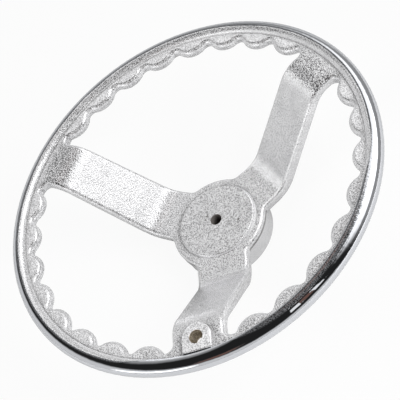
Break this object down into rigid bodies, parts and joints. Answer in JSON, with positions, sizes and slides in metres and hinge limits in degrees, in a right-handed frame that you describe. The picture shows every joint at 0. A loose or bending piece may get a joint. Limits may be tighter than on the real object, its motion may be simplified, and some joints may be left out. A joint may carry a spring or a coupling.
{
  "type": "machine handwheel",
  "caption": "Dished handwheel cast in one piece and chrome plated: round rim with finger grips inside it, flat cranked spokes, a solid hub with a pilot hole, and a pad for a handle.",
  "frame": {"origin": "middle of the hub's rear face, on the shaft axis", "axes": "+Z along the shaft towards the operator, +X from the shaft to the handle hole"},
  "size_m": [0.254, 0.254, 0.0702],
  "materials": {
    "plated_casting": "satin",
    "bare_iron": "satin"
  },
  "bodies": {
    "root": {"handwheel": "plated_casting"}
  },
  "joints": []
}
